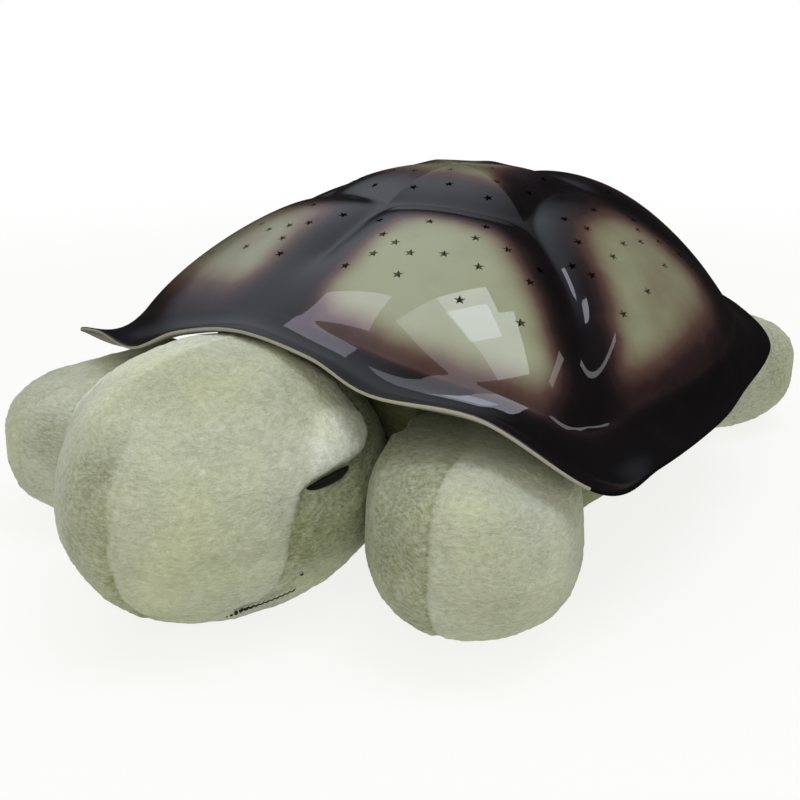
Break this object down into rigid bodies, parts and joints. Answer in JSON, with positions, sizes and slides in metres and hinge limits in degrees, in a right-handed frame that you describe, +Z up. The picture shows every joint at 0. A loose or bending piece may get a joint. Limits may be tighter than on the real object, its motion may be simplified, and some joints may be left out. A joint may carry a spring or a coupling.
{
  "type": "turtle night light projector",
  "caption": "Stuffed turtle night light whose hard shell, pierced with small stars, covers battery lamps that throw a starry sky; press buttons, belly flap and battery door.",
  "frame": {"origin": "on the floor, at the flat of the stuffed belly under the middle of the shell", "axes": "+Y from head to tail, so the head faces -Y; +X to the turtle's left; +Z up"},
  "size_m": [0.2462, 0.3473, 0.1279],
  "materials": {
    "shell_plastic": "clear-coated, airbrushed dark brown over olive cream",
    "panel_plastic": "glossy dark brown",
    "housing_plastic": "fine moulded texture",
    "deck_plastic": "matt black against stray light",
    "steel": "zinc plated",
    "spring_steel": "nickel plated",
    "cell_wrap": "plain grey printed wrap",
    "circuit_board": "green solder mask",
    "lamp_board": "white solder mask",
    "black_component": "moulded epoxy",
    "lamp_post": "natural white",
    "blue_lamp": "clear tinted lens",
    "green_lamp": "clear tinted lens",
    "amber_lamp": "clear tinted lens",
    "tinned_wire": "tinned",
    "ivory_button": "smooth moulded",
    "blue_button": "smooth moulded",
    "green_button": "smooth moulded",
    "amber_button": "smooth moulded",
    "grey_cable": "soft vinyl",
    "red_wire": "soft vinyl",
    "black_wire": "soft vinyl",
    "body_plush": "short curled pile, olive",
    "limb_plush": "short curled pile, sage",
    "eye_gloss": "polished",
    "thread": "twisted embroidery thread",
    "hook_tape": "woven tape with hooks",
    "loop_tape": "brushed loop tape"
  },
  "bodies": {
    "stuffed_body": {"shell": "shell_plastic", "button_panel": "panel_plastic", "base_tray": "housing_plastic", "light_deck": "deck_plastic", "batteries": "cell_wrap", "contact_springs": "spring_steel", "contact_plates": "spring_steel", "main_board": "circuit_board", "board_components": "black_component", "led_post": "lamp_post", "led_board": "lamp_board", "led_blue": "blue_lamp", "led_green": "green_lamp", "led_amber": "amber_lamp", "led_leads": "tinned_wire", "control_board": "circuit_board", "tact_switches": "black_component", "shell_screws": "steel", "deck_screws": "steel", "main_board_screws": "steel", "control_board_screws": "steel", "button_ribbon": "grey_cable", "battery_lead_red": "red_wire", "battery_lead_black": "black_wire", "body_cushion": "body_plush", "head": "limb_plush", "left_eye": "eye_gloss", "right_eye": "eye_gloss", "mouth_stitching": "thread", "loop_strips": "loop_tape"},
    "power_button": {"power_button": "ivory_button"},
    "blue_button": {"blue_button": "blue_button"},
    "green_button": {"green_button": "green_button"},
    "amber_button": {"amber_button": "amber_button"},
    "belly_flap": {"belly_flap": "body_plush", "hook_strips": "hook_tape"},
    "battery_door": {"battery_door": "housing_plastic", "battery_door_screw": "steel"},
    "left_front_flipper": {"left_front_flipper": "limb_plush"},
    "right_front_flipper": {"right_front_flipper": "limb_plush"},
    "left_rear_foot": {"left_rear_foot": "limb_plush"},
    "right_rear_foot": {"right_rear_foot": "limb_plush"},
    "tail": {"tail": "limb_plush"}
  },
  "joints": [
    {"name": "power_button_press", "type": "slide", "parent": "stuffed_body", "child": "power_button", "axis": [0, -0.6561, -0.7547], "range_m": [0, 0.0008], "stiffness_N_per_m": 900},
    {"name": "blue_button_press", "type": "slide", "parent": "stuffed_body", "child": "blue_button", "axis": [0, -0.6561, -0.7547], "range_m": [0, 0.0008], "stiffness_N_per_m": 900},
    {"name": "green_button_press", "type": "slide", "parent": "stuffed_body", "child": "green_button", "axis": [0, -0.6561, -0.7547], "range_m": [0, 0.0008], "stiffness_N_per_m": 900},
    {"name": "amber_button_press", "type": "slide", "parent": "stuffed_body", "child": "amber_button", "axis": [0, -0.6561, -0.7547], "range_m": [0, 0.0008], "stiffness_N_per_m": 900},
    {"name": "left_flipper_swing", "type": "hinge", "parent": "stuffed_body", "child": "left_front_flipper", "pos_m": [0.064, -0.077, 0.028], "axis": [0, 0, 1], "range_deg": [0, 20], "stiffness_Nm_per_rad": 0.3},
    {"name": "right_flipper_swing", "type": "hinge", "parent": "stuffed_body", "child": "right_front_flipper", "pos_m": [-0.064, -0.077, 0.028], "axis": [0, 0, -1], "range_deg": [0, 20], "stiffness_Nm_per_rad": 0.3},
    {"name": "left_foot_swing", "type": "hinge", "parent": "stuffed_body", "child": "left_rear_foot", "pos_m": [0.035, 0.0906, 0.025], "axis": [0, 0, 1], "range_deg": [-8, 12], "stiffness_Nm_per_rad": 0.3},
    {"name": "right_foot_swing", "type": "hinge", "parent": "stuffed_body", "child": "right_rear_foot", "pos_m": [-0.035, 0.0906, 0.025], "axis": [0, 0, -1], "range_deg": [-8, 12], "stiffness_Nm_per_rad": 0.3},
    {"name": "tail_wag", "type": "hinge", "parent": "stuffed_body", "child": "tail", "pos_m": [0, 0.0894, 0.02], "axis": [0, 0, 1], "range_deg": [-12, 12], "stiffness_Nm_per_rad": 0.05},
    {"name": "flap_fold", "type": "hinge", "parent": "stuffed_body", "child": "belly_flap", "pos_m": [0, 0.0588, 0.0016], "axis": [1, 0, 0], "range_deg": [0, 105]},
    {"name": "battery_door_swing", "type": "hinge", "parent": "stuffed_body", "child": "battery_door", "pos_m": [0, 0.049, 0.0155], "axis": [1, 0, 0], "range_deg": [0, 88]}
  ],
  "couplings": [
    {"joint": "battery_door_swing", "follows": "flap_fold", "ratio": 0.8}
  ]
}
